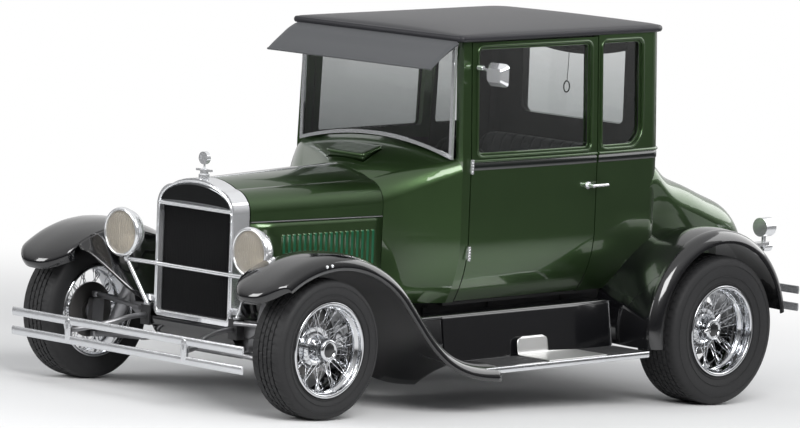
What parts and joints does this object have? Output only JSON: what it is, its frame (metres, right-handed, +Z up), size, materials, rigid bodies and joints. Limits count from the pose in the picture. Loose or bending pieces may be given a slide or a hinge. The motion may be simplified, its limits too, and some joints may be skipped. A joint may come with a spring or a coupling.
{
  "type": "vintage car",
  "caption": "Two-door coupe of the nineteen-twenties as a street car, with a louvred hood and wire wheels. Its doors, hood, boot lid and vent open, its front wheels steer and all wheels turn.",
  "frame": {"origin": "centre of the car's outline, on the ground", "axes": "+X to the car's left, +Y towards its tail, +Z up"},
  "size_m": [1.664, 3.5992, 1.7349],
  "materials": {
    "body_paint": "gloss",
    "black_paint": "gloss",
    "chassis_black": "satin",
    "chrome": "polished",
    "dull_chrome": "satin",
    "radiator_fins": "satin",
    "roof_vinyl": "grained",
    "visor_vinyl": "grained",
    "glass": "clear",
    "lamp_glass": "ribbed",
    "seat_vinyl": "satin",
    "floor_covering": "matt",
    "dash_paint": "gloss",
    "wheel_rubber": "satin",
    "tyre_rubber": "matt",
    "wheel_chrome": "polished",
    "engine_paint": "satin",
    "axle_black": "satin",
    "bright_steel": "brushed",
    "exhaust_steel": "dull",
    "tank_paint": "satin",
    "board_black": "gloss",
    "lamp_bar": "polished",
    "lamp_red": "gloss"
  },
  "bodies": {
    "car_body": {"cowl": "body_paint", "dashboard": "dash_paint", "engine": "engine_paint", "exhaust": "exhaust_steel", "floor": "floor_covering", "frame": "chassis_black", "front_bumper": "dull_chrome", "front_fender_left": "black_paint", "front_fender_right": "black_paint", "front_suspension": "bright_steel", "fuel_tank": "tank_paint", "headlight_bar": "lamp_bar", "headlight_lenses": "lamp_glass", "headlights": "chrome", "hood_hinge": "chrome", "radiator_cap": "chrome", "radiator_core": "radiator_fins", "radiator_shell": "chrome", "rear_axle": "axle_black", "rear_body": "body_paint", "rear_bumper": "dull_chrome", "rear_fender_left": "black_paint", "rear_fender_right": "black_paint", "rear_glass": "glass", "roof": "roof_vinyl", "running_boards": "board_black", "seat_back": "seat_vinyl", "seat_cushion": "seat_vinyl", "splash_pan": "black_paint", "steering_column": "chassis_black", "tail_lights": "lamp_red", "visor": "visor_vinyl", "windshield_frame": "chrome", "windshield_glass": "glass"},
    "knuckle_left": {"knuckle_left": "bright_steel"},
    "knuckle_right": {"knuckle_right": "bright_steel"},
    "wheel_front_left": {"front_wheel_left": "wheel_chrome", "front_tyre_left": "tyre_rubber"},
    "wheel_front_right": {"front_wheel_right": "wheel_chrome", "front_tyre_right": "tyre_rubber"},
    "wheel_rear_left": {"rear_wheel_left": "wheel_chrome", "rear_tyre_left": "tyre_rubber"},
    "wheel_rear_right": {"rear_wheel_right": "wheel_chrome", "rear_tyre_right": "tyre_rubber"},
    "track_rod": {"track_rod": "bright_steel"},
    "steering_wheel": {"steering_wheel": "wheel_rubber"},
    "door_left": {"door_left": "body_paint", "door_glass_left": "glass", "door_handle_left": "chrome", "mirror": "chrome"},
    "door_right": {"door_right": "body_paint", "door_glass_right": "glass", "door_handle_right": "chrome"},
    "hood_top_left": {"hood_top_left": "body_paint"},
    "hood_top_right": {"hood_top_right": "body_paint"},
    "hood_side_left": {"hood_side_left": "body_paint"},
    "hood_side_right": {"hood_side_right": "body_paint"},
    "decklid": {"decklid": "body_paint"},
    "cowl_vent": {"cowl_vent": "body_paint"}
  },
  "joints": [
    {"name": "steer_left", "type": "hinge", "parent": "car_body", "child": "knuckle_left", "pos_m": [0.66, -1.35661, 0.306], "axis": [0, 0, 1], "range_deg": [-30, 30]},
    {"name": "steer_right", "type": "hinge", "parent": "car_body", "child": "knuckle_right", "pos_m": [-0.66, -1.35661, 0.306], "axis": [0, 0, 1], "range_deg": [-30, 30]},
    {"name": "track_rod_slide", "type": "slide", "parent": "car_body", "child": "track_rod", "axis": [1, 0, 0], "range_m": [-0.0595, 0.0595]},
    {"name": "steering_wheel_turn", "type": "hinge", "parent": "car_body", "child": "steering_wheel", "pos_m": [0.235, 0.02847, 1.02023], "axis": [0, 0.8249, 0.5653], "range_deg": [-430, 430]},
    {"name": "front_wheel_left_spin", "type": "hinge", "parent": "knuckle_left", "child": "wheel_front_left", "pos_m": [0.729, -1.35661, 0.306], "axis": [1, 0, 0], "continuous": true},
    {"name": "front_wheel_right_spin", "type": "hinge", "parent": "knuckle_right", "child": "wheel_front_right", "pos_m": [-0.729, -1.35661, 0.306], "axis": [1, 0, 0], "continuous": true},
    {"name": "rear_wheel_left_spin", "type": "hinge", "parent": "car_body", "child": "wheel_rear_left", "pos_m": [0.695, 1.18339, 0.343], "axis": [1, 0, 0], "continuous": true},
    {"name": "rear_wheel_right_spin", "type": "hinge", "parent": "car_body", "child": "wheel_rear_right", "pos_m": [-0.695, 1.18339, 0.343], "axis": [1, 0, 0], "continuous": true},
    {"name": "door_left_hinge", "type": "hinge", "parent": "car_body", "child": "door_left", "pos_m": [0.538, -0.26283, 1.05729], "axis": [0, 0.0515, -0.9987], "range_deg": [0, 65]},
    {"name": "door_right_hinge", "type": "hinge", "parent": "car_body", "child": "door_right", "pos_m": [-0.538, -0.26283, 1.05729], "axis": [0, -0.0515, 0.9987], "range_deg": [0, 65]},
    {"name": "hood_top_left_hinge", "type": "hinge", "parent": "car_body", "child": "hood_top_left", "pos_m": [0, -0.95675, 0.999], "axis": [0, -0.9964, -0.0847], "range_deg": [0, 60]},
    {"name": "hood_top_right_hinge", "type": "hinge", "parent": "car_body", "child": "hood_top_right", "pos_m": [0, -0.95675, 0.999], "axis": [0, 0.9964, 0.0847], "range_deg": [0, 60]},
    {"name": "hood_side_left_hinge", "type": "hinge", "parent": "hood_top_left", "child": "hood_side_left", "pos_m": [0.2735, -0.94662, 0.81227], "axis": [-0.0836, -0.9956, -0.042], "range_deg": [-60, 0]},
    {"name": "hood_side_right_hinge", "type": "hinge", "parent": "hood_top_right", "child": "hood_side_right", "pos_m": [-0.2735, -0.94662, 0.81227], "axis": [-0.0836, 0.9956, 0.042], "range_deg": [-60, 0]},
    {"name": "decklid_hinge", "type": "hinge", "parent": "car_body", "child": "decklid", "pos_m": [0, 1.08479, 1.06065], "axis": [1, 0, 0], "range_deg": [0, 50]},
    {"name": "cowl_vent_hinge", "type": "hinge", "parent": "car_body", "child": "cowl_vent", "pos_m": [0, -0.40919, 1.11884], "axis": [-1, 0, 0], "range_deg": [-7, 25]}
  ],
  "couplings": [
    {"joint": "steer_right", "follows": "steer_left", "ratio": 1},
    {"joint": "track_rod_slide", "follows": "steer_left", "m_per_rad": -0.112},
    {"joint": "steering_wheel_turn", "follows": "steer_left", "ratio": 14},
    {"joint": "hood_side_left_hinge", "follows": "hood_top_left_hinge", "ratio": -1},
    {"joint": "hood_side_right_hinge", "follows": "hood_top_right_hinge", "ratio": -1}
  ]
}
